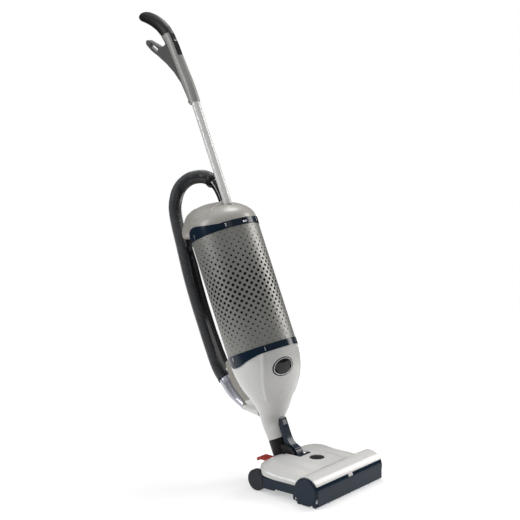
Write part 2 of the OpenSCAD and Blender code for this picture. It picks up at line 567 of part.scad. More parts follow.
// ---------------------------------------------------------------- handle
// Sections of the handle: distance behind the tube, height above its foot, half width, half depth.
GRIP = [[2, 0, 15.5, 16.5], [4, 32, 15.8, 18.5], [7, 62, 16, 20.5], [11, 92, 16, 20.5], [14, 120, 16, 20.5],
        [17, 148, 16, 20.5], [19, 178, 16, 20.5], [24, 208, 16, 21], [33, 236, 16, 20.5], [47, 260, 16.5, 19.5],
        [68, 284, 16.5, 18.5], [90, 303, 16, 17.5], [106, 313, 14.5, 15.5], [117, 318, 12, 12.5], [124, 320.5, 8, 8]];
function grip_point(s) = [0, tube_y + s[0], handle_z + s[1]];
function grip_ring(i, grow) = let (p = [for (s = GRIP) grip_point(s)], t = tangent(p, i),
                                   b = cross([1, 0, 0], t), s = GRIP[i])
    [for (k = [0:27]) let (a = 360 * k / 28)
        p[i] - (s[2] + grow) * cos(a) * [1, 0, 0] + (s[3] + grow) * sin(a) * b];
module grip_solid(grow = 0) loft([for (i = [0:len(GRIP) - 1]) grip_ring(i, grow)]);
// Side view of the part of the handle that lies behind its seam.
module behind_seam() polygon([[8, -2], [12, 50], [15, 100], [19, 150], [25, 198], [42, 232], [70, 268], [98, 296],
                              [130, 312], [150, 240], [90, 200], [70, -10]]);
module hook_side() difference() {
    polygon([[14, 20], [24, 60], [45, 112], [67, 148], [94, 184], [117, 211], [132, 236], [131, 244], [125, 248],
             [117, 245], [112, 241], [93, 223], [72, 203], [61, 198], [40, 200], [27, 190]]);
    translate([101.5, 214.5]) rotate(49) hull() for (q = [-16, 16]) translate([q, 0]) circle(r = 6, $fn = 24);
}
module grip_frame() translate([0, tube_y, handle_z]) rotate([90, 0, 90]) linear_extrude(height = 200, center = true)
    children();
module handle_core(r) translate([0, tube_y, handle_z - 1]) cylinder(r = r, h = 61.5);
module handle_rear() color([0.42, 0.42, 0.41]) body_frame() difference() {
    union() {
        intersection() {
            grip_solid();
            grip_frame() behind_seam();
        }
        translate([0, tube_y, handle_z]) along_x(-6.5, 6.5) hook_side();
    }
    handle_core(tube_d / 2 + 0.02);
    for (z = [50, 130]) translate([0, tube_y + 12.2, handle_z + z]) rotate([-90, 0, 0]) cylinder(r = 2.55, h = 90);
}
module handle_front() color([0.62, 0.62, 0.60]) body_frame() difference() {
    grip_solid();
    grip_frame() offset(delta = 0.05) behind_seam();
    grip_frame() polygon([[-40, 222], [140, 222], [140, 340], [-40, 340]]);
    handle_core(tube_d / 2 + 0.02);
    along_x(-8.6, 8.6) translate([tube_y, handle_z]) polygon([[-40, 146], [3.6, 146], [7.6, 176], [13, 221.9], [-40, 222.4]]);
}
module handle_grip() color([0.16, 0.16, 0.17]) body_frame() difference() {
    grip_solid(0.5);
    grip_frame() offset(delta = 0.05) behind_seam();
    grip_frame() polygon([[-60, -20], [60, -20], [60, 222.1], [-60, 222.1]]);
}
module switch_panel() color(BLACK) body_frame() difference() {
    intersection() {
        grip_solid(0.3);
        along_x(-8.5, 8.5) translate([tube_y, handle_z])
            polygon([[-40, 146.2], [3.5, 146.2], [7.5, 176], [12.9, 221.8], [-40, 221.8]]);
    }
    rocker_seat() translate([-5.5, -20, -10.6]) cube([11, 22.6, 21.2]);
    rocker_seat() axle(-7, 7, 1.2 + bore_gap);
}
module rocker_seat() translate([0, tube_y + 4, handle_z + 198.5]) rotate([-8.5, 0, 0]) children();
module power_switch() color([0.10, 0.10, 0.11]) body_frame() rocker_seat() {
    axle(-6.5, 6.5, 1.2);
    along_x(-5.1, 5.1)
        polygon([[1.7, -3], [1.7, 3], [-1, 9.8], [-2.8, 9.8], [-2.4, 0], [-4.6, -9.6], [-2, -9.8]]);
}
module cable_gland() color(BLACK) body_frame() translate([0, tube_y + 20, handle_z + 8]) rotate([-35, 0, 0]) {
    cylinder(r = 6, h = 6);
    translate([0, 0, -4]) cylinder(r1 = 4.6, r2 = 5, h = 4.5);
}
module handle_screws() color(STEEL) body_frame() for (z = [50, 130])
    translate([0, tube_y + 13, handle_z + z]) rotate([-90, 0, 0]) cylinder(r = 2.5, h = 12);
module handle_tube() color([0.93, 0.93, 0.92]) body_frame() translate([0, tube_y, cap_z - 8])
    ring(tube_d / 2, tube_d / 2 - 1.5, handle_z + 60 - cap_z + 8);

head_base();
sole_plate();
head_cover();
front_hood();
front_shield();
end_caps();
neck_bezel();
neck_bearings();
brush_roller();
brush_bristles();
roller_bearings();
drive_belt();
brush_motor();
motor_pulley();
wheel_axles();
rear_wheel_left();
rear_wheel_right();
front_wheel_left();
front_wheel_right();
height_dial();
foot_pedal();
pedal_pin();
pedal_spring();
neck_drum();
neck_strut();
release_button();
swivel_ring();
lower_shell();
suction_motor();
fan_impeller();
motor_plate();
lower_band();
upper_band();
band_clips();
rear_housing();
bag_chamber();
dust_bag();
front_cover();
exhaust_filter();
cover_latch();
top_cap();
tube_collar();
hose_socket();
carrying_bar();
hose_clips();
suction_hose();
hose_cuffs();
hose_elbow();
handle_tube();
handle_rear();
handle_front();
handle_grip();
switch_panel();
power_switch();
cable_gland();
handle_screws();
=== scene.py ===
"""Upright vacuum cleaner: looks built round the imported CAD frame."""
import json
import math
import bmesh
import bpy
import numpy as np
from mathutils import Matrix, Vector
from mathutils.bvhtree import BVHTree

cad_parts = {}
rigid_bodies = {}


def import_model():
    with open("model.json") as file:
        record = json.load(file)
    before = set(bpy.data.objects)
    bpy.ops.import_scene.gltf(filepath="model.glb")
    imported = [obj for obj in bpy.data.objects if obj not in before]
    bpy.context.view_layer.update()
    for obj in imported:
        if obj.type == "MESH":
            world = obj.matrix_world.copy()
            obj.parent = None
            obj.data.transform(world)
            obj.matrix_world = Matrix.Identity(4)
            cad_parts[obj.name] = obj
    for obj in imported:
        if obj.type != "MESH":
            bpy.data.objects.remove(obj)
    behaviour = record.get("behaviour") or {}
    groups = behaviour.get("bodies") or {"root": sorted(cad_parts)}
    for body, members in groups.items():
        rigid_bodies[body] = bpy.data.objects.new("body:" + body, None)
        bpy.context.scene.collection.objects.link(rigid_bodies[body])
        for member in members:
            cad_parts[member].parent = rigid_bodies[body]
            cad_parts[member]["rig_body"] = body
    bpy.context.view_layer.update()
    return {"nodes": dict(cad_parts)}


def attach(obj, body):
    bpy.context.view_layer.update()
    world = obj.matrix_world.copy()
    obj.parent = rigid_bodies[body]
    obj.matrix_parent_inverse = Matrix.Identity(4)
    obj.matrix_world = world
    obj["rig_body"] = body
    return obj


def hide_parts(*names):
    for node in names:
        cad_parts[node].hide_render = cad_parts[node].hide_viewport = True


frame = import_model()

NODES = frame["nodes"]
MM = 0.001
rad = math.radians

# ------------------------------------------------------------------ frames and sizes, as in the CAD
NECK = Matrix.Translation((0, 0.180, 0.060)) @ Matrix.Rotation(rad(-22.8), 4, "X")
BODY = (NECK @ Matrix.Translation((0, 0.018, 0)) @ Matrix.Rotation(rad(-10), 4, "Z")
        @ Matrix.Translation((0, -0.018, 0)))
BODY_Y = -0.038                         # the body's axis, in its own frame
CAP_Z = 0.6813                          # the foot of the top cap
Z0, Z1 = 0.319, 0.662                   # the ends of the perforated sleeve
R_BODY = 0.100                          # the outside of the sleeve

# ------------------------------------------------------------------ camera
cam_data = bpy.data.cameras.new("camera")
cam = bpy.data.objects.new("camera", cam_data)
bpy.context.scene.collection.objects.link(cam)
cam.location = (-2.399, -1.801, 1.098)
AZ, PITCH = rad(-53.1), rad(8.6)
look = Vector((-math.sin(AZ) * math.cos(PITCH), math.cos(AZ) * math.cos(PITCH), -math.sin(PITCH)))
cam.rotation_euler = look.to_track_quat("-Z", "Y").to_euler()
cam_data.sensor_width = 36
cam_data.lens = 78.5
cam_data.shift_x = -0.1527
cam_data.clip_end = 60
bpy.context.scene.camera = cam


# ------------------------------------------------------------------ materials
class Nodes:
    """A node tree being built: add() makes a node, and join() links two sockets."""

    def __init__(self, name):
        self.material = bpy.data.materials.new(name)
        self.material.use_nodes = True
        self.tree = self.material.node_tree
        self.shader = self.tree.nodes["Principled BSDF"]

    def add(self, kind, **values):
        node = self.tree.nodes.new(kind)
        for key, value in values.items():
            if hasattr(node, key):
                setattr(node, key, value)
            else:
                node.inputs[key].default_value = value
        return node

    def join(self, a, b):
        self.tree.links.new(a, b)

    def set(self, **values):
        for key, value in values.items():
            self.shader.inputs[key.replace("_", " ")].default_value = value


def shade(c, k):
    return tuple(min(1.0, v * k) for v in c) + (1.0,)


def finish_look(name, color, rough=0.4, metal=0.0, vary=0.06, vary_scale=18.0, grain=0.0, grain_scale=900.0,
                rough_vary=0.08, coat=0.0, coat_rough=0.06, level=0.5, brushed=None, sheen=0.0):
    """A procedural material: mottled colour, uneven roughness, and a fine moulded grain or brushing."""
    n = Nodes(name)
    where = n.add("ShaderNodeTexCoord")
    patches = n.add("ShaderNodeTexNoise", Scale=vary_scale, Detail=4.0, Roughness=0.55)
    n.join(where.outputs["Object"], patches.inputs["Vector"])
    tint = n.add("ShaderNodeValToRGB")
    tint.color_ramp.elements[0].position = 0.3
    tint.color_ramp.elements[1].position = 0.7
    tint.color_ramp.elements[0].color = shade(color, 1 - vary)
    tint.color_ramp.elements[1].color = shade(color, 1 + vary)
    n.join(patches.outputs["Fac"], tint.inputs["Fac"])
    n.join(tint.outputs["Color"], n.shader.inputs["Base Color"])
    smudge = n.add("ShaderNodeTexNoise", Scale=vary_scale * 2.7, Detail=6.0, Roughness=0.6)
    n.join(where.outputs["Object"], smudge.inputs["Vector"])
    span = n.add("ShaderNodeMapRange")
    span.inputs["To Min"].default_value = max(0.02, rough - rough_vary)
    span.inputs["To Max"].default_value = min(1.0, rough + rough_vary)
    n.join(smudge.outputs["Fac"], span.inputs["Value"])
    n.join(span.outputs["Result"], n.shader.inputs["Roughness"])
    height = None
    if brushed:
        stretch = n.add("ShaderNodeMapping")
        stretch.inputs["Scale"].default_value = brushed
        n.join(where.outputs["Object"], stretch.inputs["Vector"])
        grain_node = n.add("ShaderNodeTexNoise", Scale=1.0, Detail=3.0)
        n.join(stretch.outputs["Vector"], grain_node.inputs["Vector"])
        height = grain_node.outputs["Fac"]
    elif grain:
        grain_node = n.add("ShaderNodeTexNoise", Scale=grain_scale, Detail=2.0, Roughness=0.5)
        n.join(where.outputs["Object"], grain_node.inputs["Vector"])
        height = grain_node.outputs["Fac"]
    if height is not None:
        bump = n.add("ShaderNodeBump", Strength=grain or 0.15, Distance=0.0004)
        n.join(height, bump.inputs["Height"])
        n.join(bump.outputs["Normal"], n.shader.inputs["Normal"])
    n.set(Metallic=metal, Coat_Weight=coat, Coat_Roughness=coat_rough, Specular_IOR_Level=level)
    if sheen:
        n.set(Sheen_Weight=sheen, Sheen_Roughness=0.4)
    return n.material


CREAM = finish_look("pearl cream plastic", (0.60, 0.595, 0.578), 0.28, vary=0.015, rough_vary=0.02,
                    grain=0.02, grain_scale=600, coat=0.35, coat_rough=0.12)
PALE = finish_look("beige grey plastic", (0.37, 0.355, 0.325), 0.36, vary=0.03, rough_vary=0.03, grain=0.05,
                   grain_scale=700, coat=0.25, coat_rough=0.2)
SLEEVE = finish_look("perforated sleeve paint", (0.245, 0.243, 0.228), 0.42, metal=0.4, vary=0.03,
                     rough_vary=0.03, grain=0.04, grain_scale=700)
NAVY = finish_look("navy gloss plastic", (0.007, 0.016, 0.030), 0.18, vary=0.10, rough_vary=0.03, coat=0.06,
                   level=0.22)
BLACK = finish_look("black moulded plastic", (0.006, 0.006, 0.007), 0.42, vary=0.12, grain=0.05,
                    grain_scale=500, level=0.3)
BLACK_GLOSS = finish_look("black gloss plastic", (0.004, 0.004, 0.005), 0.14, vary=0.10, rough_vary=0.03,
                          coat=0.2, level=0.35)
# the soft grip's near-black colour is partly painted shade: it also stands in for the shadow along the top of
# the handle
GRIP_BLACK_AND_SHADE = finish_look("soft grip rubber and painted shade", (0.010, 0.010, 0.011), 0.42, vary=0.12, grain=0.06,
                         grain_scale=500, level=0.35)
HANDLE_LIGHT = finish_look("light grey plastic", (0.30, 0.30, 0.285), 0.34, vary=0.03, rough_vary=0.03,
                           grain=0.02, grain_scale=800)
HANDLE_DARK = finish_look("mid grey plastic", (0.10, 0.10, 0.097), 0.40, vary=0.05, grain=0.02,
                          grain_scale=500)
HOSE = finish_look("hose plastic", (0.042, 0.044, 0.048), 0.30, vary=0.15, rough_vary=0.05, coat=0.15,
                   level=0.45)
ELBOW = finish_look("silver lilac plastic", (0.42, 0.425, 0.48), 0.22, metal=0.5, vary=0.03, rough_vary=0.03,
                    coat=0.5)
TUBE = finish_look("white tube paint", (0.72, 0.72, 0.70), 0.2, vary=0.015, rough_vary=0.03, coat=0.6)
STEEL = finish_look("brushed steel", (0.62, 0.64, 0.67), 0.28, metal=1.0, vary=0.05, brushed=(60, 60, 2400))
RED = finish_look("red plastic", (0.40, 0.030, 0.016), 0.35, vary=0.06, grain=0.1)
GREY = finish_look("button grey plastic", (0.20, 0.21, 0.225), 0.4, vary=0.05, grain=0.15)
RUBBER = finish_look("wheel rubber", (0.005, 0.009, 0.014), 0.34, vary=0.2, grain=0.04, grain_scale=500,
                     level=0.35)
MOTOR = finish_look("motor housing", (0.09, 0.095, 0.105), 0.55, vary=0.1, grain=0.3)
ALU = finish_look("cast aluminium", (0.58, 0.59, 0.60), 0.38, metal=1.0, vary=0.08, grain=0.35,
                  grain_scale=700)
BRISTLE = finish_look("nylon bristle", (0.02, 0.02, 0.022), 0.6, vary=0.3, brushed=(2500, 300, 300))
PAPER = finish_look("filter paper bag", (0.58, 0.52, 0.40), 0.9, vary=0.1, vary_scale=60, grain=0.6,
                    grain_scale=350)
FLEECE = finish_look("filter fleece", (0.70, 0.70, 0.68), 0.95, vary=0.06, vary_scale=90, grain=0.8,
                     grain_scale=450, sheen=0.2)
# near-black painted shade for the walls and bottoms of the sleeve's shallow holes, standing in for the shadow
# inside them
HOLE_SHADE = finish_look("painted shade in sleeve holes", (0.004, 0.004, 0.0045), 0.9, vary=0.3, level=0.05)
LIGHT_RIM = finish_look("light rim plastic", (0.70, 0.705, 0.71), 0.25, vary=0.02, rough_vary=0.03, coat=0.3)
FIN = finish_look("beige strip plastic", (0.25, 0.235, 0.205), 0.4, vary=0.04, rough_vary=0.03, grain=0.1)

NODE_LOOK = {
    "head_base": NAVY, "sole_plate": STEEL, "head_cover": CREAM, "front_hood": CREAM, "front_shield": NAVY,
    "end_caps": NAVY, "neck_bezel": NAVY, "neck_bearings": BLACK, "brush_roller": MOTOR,
    "brush_bristles": BRISTLE, "roller_bearings": STEEL, "drive_belt": RUBBER, "brush_motor": MOTOR,
    "motor_pulley": ALU, "wheel_axles": STEEL, "rear_wheel_left": RUBBER, "rear_wheel_right": RUBBER,
    "front_wheel_left": RUBBER, "front_wheel_right": RUBBER, "height_dial": BLACK, "foot_pedal": RED,
    "pedal_pin": STEEL, "pedal_spring": STEEL, "neck_drum": BLACK, "neck_strut": NAVY, "release_button": GREY,
    "swivel_ring": BLACK, "lower_shell": CREAM, "suction_motor": MOTOR, "fan_impeller": ALU,
    "motor_plate": BLACK, "lower_band": NAVY, "upper_band": NAVY, "band_clips": STEEL, "rear_housing": SLEEVE,
    "bag_chamber": MOTOR, "dust_bag": PAPER, "front_cover": SLEEVE, "exhaust_filter": FLEECE,
    "cover_latch": STEEL, "top_cap": PALE, "tube_collar": PALE, "hose_socket": BLACK_GLOSS,
    "carrying_bar": BLACK_GLOSS, "hose_clips": BLACK, "suction_hose": HOSE, "hose_cuffs": BLACK,
    "hose_elbow": ELBOW, "handle_tube": TUBE, "handle_rear": HANDLE_DARK, "handle_front": HANDLE_LIGHT,
    "handle_grip": GRIP_BLACK_AND_SHADE, "switch_panel": BLACK_GLOSS, "power_switch": BLACK_GLOSS,
    "cable_gland": BLACK, "handle_screws": STEEL,
}
BODY_OF = {n: o["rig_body"] for n, o in NODES.items()}
for node, look_of in NODE_LOOK.items():
    mesh = NODES[node].data
    mesh.materials.clear()
    mesh.materials.append(look_of)


# ------------------------------------------------------------------ mesh helpers
def link(name, mesh, body, looks):
    """A new piece on a body and materials. Its faces keep their material numbers."""
    o = bpy.data.objects.new(name, mesh)
    bpy.context.scene.collection.objects.link(o)
    if looks:
        chosen = [f.material_index for f in mesh.polygons]
        mesh.materials.clear()
        for m in looks:
            mesh.materials.append(m)
        mesh.polygons.foreach_set("material_index", chosen)
    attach(o, body)
    return o


def apply_modifiers(o):
    """Leaves the result of a piece's modifiers as its mesh, and no modifiers."""
    dg = bpy.context.evaluated_depsgraph_get()
    mesh = bpy.data.meshes.new_from_object(o.evaluated_get(dg))
    o.modifiers.clear()
    old = o.data
    o.data = mesh
    bpy.data.meshes.remove(old)


def smooth_by_angle(mesh, degrees, crease=None):
    """Smooth shading, with sharp edges past an angle and along the lines that crease picks."""
    bm = bmesh.new()
    bm.from_mesh(mesh)
    for f in bm.faces:
        f.smooth = True
    for e in bm.edges:
        bend = e.calc_face_angle(0) if len(e.link_faces) == 2 else 9
        e.smooth = bend < rad(degrees)
        if crease and bend > rad(2.5) and crease(e.verts[0].co) and crease(e.verts[1].co):
            e.smooth = False
    bm.to_mesh(mesh)
    bm.free()


def soften(bm, rounds, crease=None, lock_angle=35, weight=0.5):
    """Evens out the facets of a loft and leaves its edges, and the places that crease picks, as they are."""
    locked = {v for e in bm.edges if len(e.link_faces) != 2 or e.calc_face_angle(0) > rad(lock_angle)
              for v in e.verts}
    if crease:
        locked |= {v for v in bm.verts if crease(v.co)}
    free = [v for v in bm.verts if v not in locked]
    for _ in range(rounds):
        bmesh.ops.smooth_vert(bm, verts=free, factor=weight,
                              use_axis_x=True, use_axis_y=True, use_axis_z=True)


def divide(bm, longest, near=None, rounds=6):
    """Halves the edges longer than longest, again and again, but only those that near picks."""
    for _ in range(rounds):
        edges = [e for e in bm.edges if e.calc_length() > longest and (near is None or near(e))]
        if not edges:
            break
        bmesh.ops.subdivide_edges(bm, edges=edges, cuts=1)
        bmesh.ops.triangulate(bm, faces=[f for f in bm.faces if len(f.verts) > 4])


def refined(node, width=0.6, angle=34, segments=2, longest=None, rounds=0, looks=None, seams=(), paint=None,
            crease=None):
    """A copy of a CAD node's mesh with its edges rounded, its facets evened out and its seams pressed in.
    seams is a list of (frame, points in mm, width, depth); paint picks a face's material."""
    o = NODES[node]
    bm = bmesh.new()
    bm.from_mesh(o.data)
    bmesh.ops.remove_doubles(bm, verts=bm.verts, dist=1.5e-5)
    if longest:
        divide(bm, longest * MM)
        soften(bm, rounds, crease)
    else:
        bmesh.ops.dissolve_limit(bm, angle_limit=rad(0.5), verts=bm.verts, edges=bm.edges)
    mesh = bpy.data.meshes.new(node + "_skin")
    bm.to_mesh(mesh)
    bm.free()
    piece = link(node + "_skin", mesh, BODY_OF[node], looks or [NODE_LOOK[node]])
    if width:
        m = piece.modifiers.new("round", "BEVEL")
        m.width = width * MM
        m.segments = segments
        m.limit_method = "ANGLE"
        m.angle_limit = rad(angle)
        m.use_clamp_overlap = True
        apply_modifiers(piece)
    for seam in seams:
        press_seam(piece, *seam)
    smooth_by_angle(piece.data, 48, crease)
    if not longest and not seams:
        w = piece.modifiers.new("normals", "WEIGHTED_NORMAL")
        w.keep_sharp = True
        apply_modifiers(piece)
    if paint:
        for f in piece.data.polygons:
            f.material_index = paint(f)
    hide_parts(node)
    return piece


def press_seam(piece, where, points, width, depth):
    """Presses a groove along a line laid on the piece's surface; a negative depth raises a bead."""
    bm = bmesh.new()
    bm.from_mesh(piece.data)
    tree = BVHTree.FromBMesh(bm)
    line = []
    for a, b in zip(points, points[1:]):
        a, b = Vector(a), Vector(b)
        steps = max(2, int((b - a).length / (width * 0.4)))
        for i in range(steps + 1):
            hit = tree.find_nearest(where @ ((a + (b - a) * i / steps) * MM))
            line.append(hit[0])
    path = np.array(line)
    reach = width * MM

    def gap(co):
        return float(np.sqrt(((path - np.array(co)) ** 2).sum(1).min()))

    low, high = path.min(0) - 4 * reach, path.max(0) + 4 * reach

    def close(e):
        c = (e.verts[0].co + e.verts[1].co) / 2
        if any(c[i] < low[i] - e.calc_length() or c[i] > high[i] + e.calc_length() for i in range(3)):
            return False
        return gap(c) < reach + e.calc_length() * 0.6

    divide(bm, width * MM * 0.42, close, rounds=7)
    bm.normal_update()
    moves = []
    for v in bm.verts:
        if all(low[i] <= v.co[i] <= high[i] for i in range(3)):
            d = gap(v.co)
            if d < reach:
                moves.append((v, v.normal * (-depth * MM * 0.5 * (1 + math.cos(math.pi * d / reach)))))
    for v, move in moves:
        v.co += move
    bm.to_mesh(piece.data)
    bm.free()


def grid_mesh(name, rows, closed=True, caps=True):
    """A skin through rings of points; rings turn the same way and have the same count."""
    bm = bmesh.new()
    rings = [[bm.verts.new(p) for p in r] for r in rows]
    n = len(rows[0])
    for a, b in zip(rings, rings[1:]):
        for i in range(n if closed else n - 1):
            j = (i + 1) % n
            bm.faces.new((a[i], a[j], b[j], b[i]))
    if caps:
        bm.faces.new(rings[0][::-1])
        bm.faces.new(rings[-1])
    bmesh.ops.recalc_face_normals(bm, faces=bm.faces)
    mesh = bpy.data.meshes.new(name)
    bm.to_mesh(mesh)
    bm.free()
    return mesh


def spline(points, step):
    """Points every step along a smooth curve through the given ones."""
    p = [Vector(q) for q in points]
    p = [2 * p[0] - p[1]] + p + [2 * p[-1] - p[-2]]
    fine = []
    for i in range(1, len(p) - 2):
        a, b, c, d = p[i - 1:i + 3]
        for k in range(24):
            t = k / 24
            fine.append(0.5 * (2 * b + (c - a) * t + (2 * a - 5 * b + 4 * c - d) * t * t
                               + (3 * b - a - 3 * c + d) * t ** 3))
    fine.append(p[-2])
    run = [0.0]
    for a, b in zip(fine, fine[1:]):
        run.append(run[-1] + (b - a).length)
    count = max(2, round(run[-1] / step))
    xyz = np.array([tuple(q) for q in fine])
    s = np.linspace(0, run[-1], count + 1)
    return [Vector([float(np.interp(v, run, xyz[:, k])) for k in range(3)]) for v in s], run[-1]


def tube_rings(path, radii, sides, side=Vector((1, 0, 0))):
    """A ring of points round each point of a path, with that point's radius."""
    rings = []
    for i, p in enumerate(path):
        t = (path[min(i + 1, len(path) - 1)] - path[max(i - 1, 0)]).normalized()
        a = t.cross(side).normalized()
        b = t.cross(a)
        r = radii[i]
        rings.append([p + r * (math.cos(2 * math.pi * k / sides) * a + math.sin(2 * math.pi * k / sides) * b)
                      for k in range(sides)])
    return rings


def placed(rings, where):
    """The same rings in another frame."""
    return [[where @ p for p in r] for r in rings]


# ------------------------------------------------------------------ the suction hose
# the route's points are the CAD's, in the body's frame
HOSE_ROUTE = [
    (0.022, BODY_Y + 0.008, CAP_Z + 0.141), (0.021, BODY_Y + 0.018, CAP_Z + 0.152),
    (0.019, BODY_Y + 0.034, CAP_Z + 0.164), (0.017, BODY_Y + 0.054, CAP_Z + 0.173),
    (0.014, BODY_Y + 0.076, CAP_Z + 0.179), (0.012, BODY_Y + 0.098, CAP_Z + 0.182),
    (0.010, BODY_Y + 0.122, CAP_Z + 0.181), (0.008, BODY_Y + 0.146, CAP_Z + 0.176),
    (0.006, BODY_Y + 0.168, CAP_Z + 0.165), (0.005, BODY_Y + 0.187, CAP_Z + 0.149),
    (0.003, BODY_Y + 0.201, CAP_Z + 0.129), (0.002, BODY_Y + 0.209, CAP_Z + 0.106),
    (0.001, BODY_Y + 0.213, CAP_Z + 0.080), (0, BODY_Y + 0.216, CAP_Z + 0.048),
    (0, BODY_Y + 0.220, CAP_Z + 0.014), (0, BODY_Y + 0.225, CAP_Z - 0.022),
    (0, BODY_Y + 0.231, CAP_Z - 0.066), (0, BODY_Y + 0.235, CAP_Z - 0.116), (0, BODY_Y + 0.237, 0.510),
    (0, BODY_Y + 0.237, 0.450), (0, BODY_Y + 0.237, 0.390), (0, BODY_Y + 0.236, 0.340),
    (0, BODY_Y + 0.233, 0.312), (0, BODY_Y + 0.225, 0.288), (0, BODY_Y + 0.215, 0.272),
]
HOSE_R = 0.020
RIB = 0.0052                            # from one rib to the next
RIB_DEPTH = 0.0022
RIB_STEPS = 6
HOSE_SIDES = 36
hose_path, hose_length = spline(HOSE_ROUTE, RIB / RIB_STEPS)
hose_radii = []
for i in range(len(hose_path)):
    wave = 0.5 + 0.5 * math.cos(2 * math.pi * i / RIB_STEPS)
    hose_radii.append(HOSE_R - RIB_DEPTH * (1 - wave))
hose_rings = placed(tube_rings(hose_path, hose_radii, HOSE_SIDES), BODY)
hose = link("hose", grid_mesh("hose", hose_rings), "body", [HOSE])
smooth_by_angle(hose.data, 60)
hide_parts("suction_hose")

# ------------------------------------------------------------------ the perforated sleeve
COLUMN = rad(6)
ROWS = 34
HOLE_SIDES = 16                         # two for each of a field's eight corners and mid points
SLEEVE_WALL = 0.003
HOLE_LIP = 0.00035                      # width and depth of the bevel round each hole
HOLE_DEPTH = 0.0021
SLEEVE_GAP = 0.0006                     # between the sleeve's ends and the bands
SPLIT_TRIM = rad(0.12)                  # half the gap between the two halves


def hole_radius(z):
    """The holes are largest half way up and shrink towards both ends."""
    t = (z - Z0) / (Z1 - Z0)
    return MM * (1.3 + 3.05 * math.sin(math.pi * min(1, max(0, t))) ** 1.3)


def sleeve(name, node, first, last):
    """Half of the sleeve, from column first to column last, counted from the front, with a hole in every
    second field of its grid. The walls and bottoms of its shallow holes carry near-black painted shade."""
    z_low, z_high = Z0 + SLEEVE_GAP, Z1 - SLEEVE_GAP
    pitch = (z_high - z_low) / ROWS
    bm = bmesh.new()
    made = {}

    def at(a, z, r):
        key = (round(a, 6), round(z, 7), round(r, 6))
        if key not in made:
            made[key] = bm.verts.new(BODY @ Vector((-r * math.sin(a), BODY_Y - r * math.cos(a), z)))
        return made[key]

    painted_shade_faces = []
    for c in range(first, last):
        for row in range(ROWS):
            a0, a1 = c * COLUMN, (c + 1) * COLUMN
            if c == first:
                a0 += SPLIT_TRIM
            if c == last - 1:
                a1 -= SPLIT_TRIM
            am, zl, zh = (a0 + a1) / 2, z_low + row * pitch, z_low + (row + 1) * pitch
            zm = (zl + zh) / 2
            rim = [(a0, zl), (am, zl), (a1, zl), (a1, zm), (a1, zh), (am, zh), (a0, zh), (a0, zm)]
            outer = [at(a, z, R_BODY) for a, z in rim]
            inner = [at(a, z, R_BODY - SLEEVE_WALL) for a, z in rim]
            bm.faces.new(inner[::-1])
            edge = []
            if row == 0:
                edge += [(0, 1), (1, 2)]
            if row == ROWS - 1:
                edge += [(4, 5), (5, 6)]
            if c == first:
                edge += [(6, 7), (7, 0)]
            if c == last - 1:
                edge += [(2, 3), (3, 4)]
            for i, j in edge:
                bm.faces.new((outer[j], outer[i], inner[i], inner[j]))
            if (c + row) % 2:
                bm.faces.new(outer)
                continue
            r = hole_radius(zm)

            def ring(size, depth):
                points = []
                for k in range(HOLE_SIDES):
                    t = 2 * math.pi * k / HOLE_SIDES - math.pi * 0.75
                    points.append(at(am + size * math.cos(t) / R_BODY, zm + size * math.sin(t),
                                     R_BODY - depth))
                return points

            lip, mouth, bottom = ring(r + HOLE_LIP, 0), ring(r, HOLE_LIP), ring(r, HOLE_DEPTH)
            for k in range(len(rim)):
                n = (k + 1) % len(rim)
                between = lip[2 * k + 1]
                bm.faces.new((outer[k], outer[n], lip[2 * n], between))
                bm.faces.new((outer[k], between, lip[2 * k]))
            for a, b in ((lip, mouth), (mouth, bottom)):
                for k in range(HOLE_SIDES):
                    n = (k + 1) % HOLE_SIDES
                    wall = bm.faces.new((a[k], a[n], b[n], b[k]))
                    if a is mouth:
                        painted_shade_faces.append(wall)
            painted_shade_faces.append(bm.faces.new(bottom))
    # the hole walls and bottoms take the near-black painted shade
    for f in painted_shade_faces:
        f.material_index = 1
    bmesh.ops.recalc_face_normals(bm, faces=bm.faces)
    mesh = bpy.data.meshes.new(name)
    bm.to_mesh(mesh)
    bm.free()
    piece = link(name, mesh, BODY_OF[node], [SLEEVE, HOLE_SHADE])
    smooth_by_angle(piece.data, 32)
    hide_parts(node)
    return piece


sleeve("sleeve_front", "front_cover", -15, 15)
sleeve("sleeve_back", "rear_housing", 15, 45)

# ------------------------------------------------------------------ skins of the CAD nodes
PANEL_X = 0.049                         # half the width of the raised middle panel


def strip_in(y):
    """How far the inner edge of a pressed strip is from the head cover's middle, at y."""
    return 0.077 - (y - 0.011) * 0.175 if y < 0.150 else 0.0527


def strip_out(y):
    """The same for the strip's outer edge."""
    return 0.101 - (y - 0.014) * 0.1


def cover_crease(co):
    """True on the edges of the head cover's middle panel and of the strips beside it."""
    if co.z < 0.045 or co.y > 0.153:
        return False
    return any(abs(abs(co.x) - x) < 0.0006 for x in (PANEL_X, strip_in(co.y), strip_out(co.y)))


def shell_paint(face):
    """The strip up the back of the lower shell has its own colour."""
    p = BODY.inverted() @ face.center
    return 1 if abs(p.x) < 0.0118 and p.y > 0.05 or (abs(p.x) < 0.0122 and p.y > 0.075 and p.z > 0.19) else 0


def on_shell(phi, z, r):
    """A point about the body's lower part: angle from the front in degrees, height and radius in mm."""
    return (-r * math.sin(rad(phi)), BODY_Y * 1000 - r * math.cos(rad(phi)), z)


# seams: frame, points in mm, width and depth in mm
CREASE_LINES = [(BODY, [on_shell(s * a, z, r) for a, z, r in ((40, 292, 100), (44, 262, 97), (52, 230, 88),
                                                              (60, 200, 70), (70, 172, 55))], 9.0, -3.2)
                for s in (-1, 1)]
CHEVRON = [(BODY, [(s * x, y, CAP_Z * 1000 + z) for x, y, z in
                   ((93, -27, 36), (86, -60, 33), (77, -82, 33.4), (52, -82, 52), (14, -75, 63.6))], 3.6, 2.0)
           for s in (-1, 1)]
refined("head_cover", width=0, longest=6, rounds=2, crease=cover_crease)
refined("lower_shell", width=0, longest=6, rounds=6, seams=CREASE_LINES, looks=[CREAM, FIN],
        paint=shell_paint)
refined("top_cap", width=0, longest=5, rounds=6, seams=CHEVRON)
